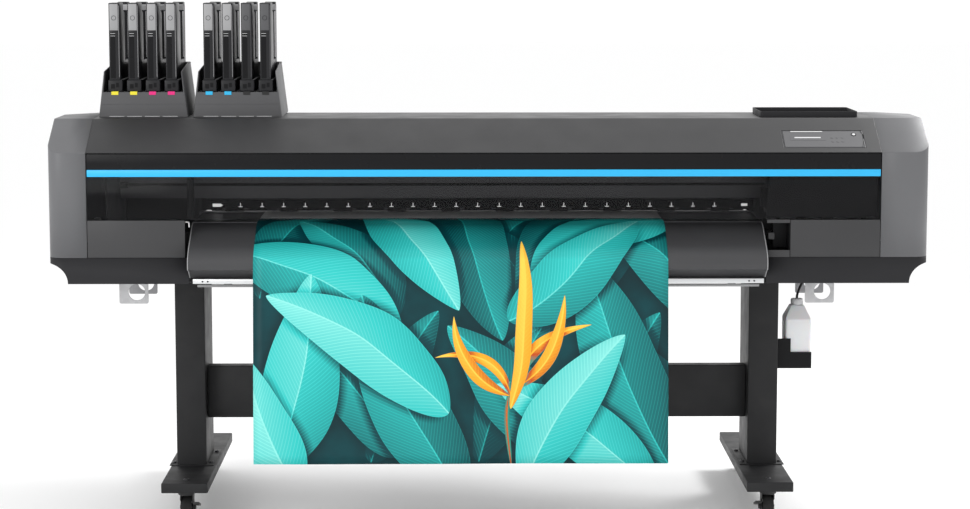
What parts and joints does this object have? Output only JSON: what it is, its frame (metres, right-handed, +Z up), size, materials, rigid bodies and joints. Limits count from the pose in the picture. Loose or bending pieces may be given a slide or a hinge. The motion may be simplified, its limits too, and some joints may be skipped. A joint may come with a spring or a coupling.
{
  "type": "large-format roll printer",
  "caption": "wide roll-fed inkjet printer with hinged smoked front cover, ink cassettes on top, rear roll holders, hanging print and a castered twin-column stand",
  "frame": {"origin": "on the floor, under the middle of the object's bounding box", "axes": "+X to the right of somebody who stands in front of the machine, +Y from its front to its back, +Z up"},
  "size_m": [2.7165, 1.0813, 1.613],
  "materials": {
    "stand_paint": "fine matt black powder coat",
    "bed_steel": "dark grey painted sheet steel",
    "zinc_plate": "zinc plated sheet",
    "aluminium": "satin anodised",
    "platen_metal": "dark anodised",
    "rail_metal": "dark satin anodised",
    "side_plastic": "fine textured mid grey",
    "hood_plastic": "fine textured dark grey",
    "panel_plastic": "fine textured dark grey",
    "skirt_plastic": "fine textured near black",
    "guide_plastic": "satin grey",
    "module_plastic": "textured dark grey",
    "black_plastic": "matt black",
    "caster_plastic": "satin black nylon",
    "cassette_plastic": "satin dark grey",
    "panel_face": "satin membrane",
    "button_plastic": "pale satin",
    "cover_gloss": "semi gloss black",
    "smoked_window": "smoked acrylic",
    "black_rubber": "smooth flexible tube",
    "wheel_rubber": "hard black tread",
    "milky_plastic": "translucent milky",
    "printed_film": "printed satin film",
    "white_film": "white satin film"
  },
  "bodies": {
    "machine": {"left_base_plate": "stand_paint", "right_base_plate": "stand_paint", "left_column": "stand_paint", "right_column": "stand_paint", "cross_beam": "stand_paint", "left_lifting_bracket": "zinc_plate", "right_lifting_bracket": "zinc_plate", "bottle_bracket": "stand_paint", "bed_frame": "bed_steel", "rear_cover": "hood_plastic", "top_hood": "hood_plastic", "left_side_cover": "side_plastic", "right_side_cover": "side_plastic", "left_bottom_cover": "skirt_plastic", "right_bottom_cover": "skirt_plastic", "platen": "platen_metal", "rear_guide": "guide_plastic", "front_guide": "guide_plastic", "guide_strip": "aluminium", "rail_beam": "rail_metal", "capping_station": "black_plastic", "control_panel": "panel_face", "tool_tray": "skirt_plastic", "left_ink_module": "module_plastic", "right_ink_module": "module_plastic", "waste_tube": "black_rubber", "power_inlet": "black_plastic", "printed_media": "printed_film"},
    "hinged_cover": {"front_cover": "cover_gloss", "cover_window": "smoked_window"},
    "carriage": {"print_carriage": "black_plastic"},
    "cutter": {"cutter_holder": "black_plastic"},
    "left_panel": {"left_maintenance_panel": "panel_plastic"},
    "right_panel": {"right_maintenance_panel": "panel_plastic"},
    "feed_roller": {"feed_roller": "aluminium"},
    "pressure_bar": {"pressure_bar": "black_plastic"},
    "pressure_lever": {"pressure_lever": "black_plastic"},
    "media_roll": {"media_roll": "white_film"},
    "left_holder": {"left_roll_holder": "black_plastic"},
    "right_holder": {"right_roll_holder": "black_plastic"},
    "front_left_fork": {"front_left_caster_fork": "caster_plastic"},
    "front_right_fork": {"front_right_caster_fork": "caster_plastic"},
    "rear_left_fork": {"rear_left_caster_fork": "caster_plastic"},
    "rear_right_fork": {"rear_right_caster_fork": "caster_plastic"},
    "front_left_wheel": {"front_left_caster_wheel": "wheel_rubber"},
    "front_right_wheel": {"front_right_caster_wheel": "wheel_rubber"},
    "rear_left_wheel": {"rear_left_caster_wheel": "wheel_rubber"},
    "rear_right_wheel": {"rear_right_caster_wheel": "wheel_rubber"},
    "left_brake": {"left_brake_lever": "caster_plastic"},
    "right_brake": {"right_brake_lever": "caster_plastic"},
    "waste_bottle": {"waste_bottle": "milky_plastic"},
    "power_button": {"power_button": "button_plastic"},
    "cassette_1": {"ink_cassette_1_yellow": "cassette_plastic"},
    "cassette_2": {"ink_cassette_2_yellow": "cassette_plastic"},
    "cassette_3": {"ink_cassette_3_magenta": "cassette_plastic"},
    "cassette_4": {"ink_cassette_4_magenta": "cassette_plastic"},
    "cassette_5": {"ink_cassette_5_cyan": "cassette_plastic"},
    "cassette_6": {"ink_cassette_6_cyan": "cassette_plastic"},
    "cassette_7": {"ink_cassette_7_black": "cassette_plastic"},
    "cassette_8": {"ink_cassette_8_black": "cassette_plastic"}
  },
  "joints": [
    {"name": "front_cover_hinge", "type": "hinge", "parent": "machine", "child": "hinged_cover", "pos_m": [-0.0075, -0.4105, 1.16], "axis": [-1, 0, 0], "range_deg": [0, 75]},
    {"name": "carriage_travel", "type": "slide", "parent": "machine", "child": "carriage", "axis": [-1, 0, 0], "range_m": [0, 2.02]},
    {"name": "cutter_drop", "type": "slide", "parent": "carriage", "child": "cutter", "axis": [0, 0, -1], "range_m": [0, 0.01], "stiffness_N_per_m": 200, "springref_m": -0.01},
    {"name": "left_panel_hinge", "type": "hinge", "parent": "machine", "child": "left_panel", "pos_m": [-1.0785, -0.4105, 0.8365], "axis": [1, 0, 0], "range_deg": [0, 90]},
    {"name": "right_panel_hinge", "type": "hinge", "parent": "machine", "child": "right_panel", "pos_m": [1.075, -0.4105, 0.8365], "axis": [1, 0, 0], "range_deg": [0, 90]},
    {"name": "media_roll_spin", "type": "hinge", "parent": "machine", "child": "media_roll", "pos_m": [-0.08, 0.455, 0.785], "axis": [1, 0, 0], "continuous": true},
    {"name": "feed_roller_spin", "type": "hinge", "parent": "machine", "child": "feed_roller", "pos_m": [-0.0275, 0.01, 0.9225], "axis": [1, 0, 0], "continuous": true},
    {"name": "pressure_lever_turn", "type": "hinge", "parent": "machine", "child": "pressure_lever", "pos_m": [0.88, -0.3, 0.9], "axis": [1, 0, 0], "range_deg": [0, 40]},
    {"name": "pressure_bar_lift", "type": "slide", "parent": "machine", "child": "pressure_bar", "axis": [0, 0, 1], "range_m": [0, 0.005]},
    {"name": "left_holder_slide", "type": "slide", "parent": "machine", "child": "left_holder", "axis": [-1, 0, 0], "range_m": [0, 0.15]},
    {"name": "right_holder_slide", "type": "slide", "parent": "machine", "child": "right_holder", "axis": [1, 0, 0], "range_m": [0, 0.25]},
    {"name": "front_left_swivel", "type": "hinge", "parent": "machine", "child": "front_left_fork", "pos_m": [-0.9415, -0.36, 0.09], "axis": [0, 0, 1], "continuous": true},
    {"name": "front_right_swivel", "type": "hinge", "parent": "machine", "child": "front_right_fork", "pos_m": [0.8845, -0.36, 0.09], "axis": [0, 0, 1], "continuous": true},
    {"name": "rear_left_swivel", "type": "hinge", "parent": "machine", "child": "rear_left_fork", "pos_m": [-0.9415, 0.357, 0.09], "axis": [0, 0, 1], "continuous": true},
    {"name": "rear_right_swivel", "type": "hinge", "parent": "machine", "child": "rear_right_fork", "pos_m": [0.8845, 0.357, 0.09], "axis": [0, 0, 1], "continuous": true},
    {"name": "front_left_wheel_spin", "type": "hinge", "parent": "front_left_fork", "child": "front_left_wheel", "pos_m": [-0.9415, -0.332, 0.0375], "axis": [1, 0, 0], "continuous": true},
    {"name": "front_right_wheel_spin", "type": "hinge", "parent": "front_right_fork", "child": "front_right_wheel", "pos_m": [0.8845, -0.332, 0.0375], "axis": [1, 0, 0], "continuous": true},
    {"name": "rear_left_wheel_spin", "type": "hinge", "parent": "rear_left_fork", "child": "rear_left_wheel", "pos_m": [-0.9415, 0.385, 0.0375], "axis": [1, 0, 0], "continuous": true},
    {"name": "rear_right_wheel_spin", "type": "hinge", "parent": "rear_right_fork", "child": "rear_right_wheel", "pos_m": [0.8845, 0.385, 0.0375], "axis": [1, 0, 0], "continuous": true},
    {"name": "left_brake_press", "type": "hinge", "parent": "front_left_fork", "child": "left_brake", "pos_m": [-0.9415, -0.332, 0.0375], "axis": [1, 0, 0], "range_deg": [0, 20]},
    {"name": "right_brake_press", "type": "hinge", "parent": "front_right_fork", "child": "right_brake", "pos_m": [0.8845, -0.332, 0.0375], "axis": [1, 0, 0], "range_deg": [0, 20]},
    {"name": "bottle_pull", "type": "slide", "parent": "machine", "child": "waste_bottle", "axis": [1, 0, 0], "range_m": [0, 0.1]},
    {"name": "power_button_press", "type": "slide", "parent": "machine", "child": "power_button", "axis": [0, 0.4867, -0.8735], "range_m": [0, 0.0015], "stiffness_N_per_m": 400, "springref_m": -0.0008},
    {"name": "cassette_1_lift", "type": "slide", "parent": "machine", "child": "cassette_1", "axis": [0, 0, 1], "range_m": [0, 0.13]},
    {"name": "cassette_2_lift", "type": "slide", "parent": "machine", "child": "cassette_2", "axis": [0, 0, 1], "range_m": [0, 0.13]},
    {"name": "cassette_3_lift", "type": "slide", "parent": "machine", "child": "cassette_3", "axis": [0, 0, 1], "range_m": [0, 0.13]},
    {"name": "cassette_4_lift", "type": "slide", "parent": "machine", "child": "cassette_4", "axis": [0, 0, 1], "range_m": [0, 0.13]},
    {"name": "cassette_5_lift", "type": "slide", "parent": "machine", "child": "cassette_5", "axis": [0, 0, 1], "range_m": [0, 0.13]},
    {"name": "cassette_6_lift", "type": "slide", "parent": "machine", "child": "cassette_6", "axis": [0, 0, 1], "range_m": [0, 0.13]},
    {"name": "cassette_7_lift", "type": "slide", "parent": "machine", "child": "cassette_7", "axis": [0, 0, 1], "range_m": [0, 0.13]},
    {"name": "cassette_8_lift", "type": "slide", "parent": "machine", "child": "cassette_8", "axis": [0, 0, 1], "range_m": [0, 0.13]}
  ],
  "couplings": [
    {"joint": "feed_roller_spin", "follows": "media_roll_spin", "ratio": 6.25},
    {"joint": "pressure_bar_lift", "follows": "pressure_lever_turn", "m_per_rad": 0.00716}
  ]
}
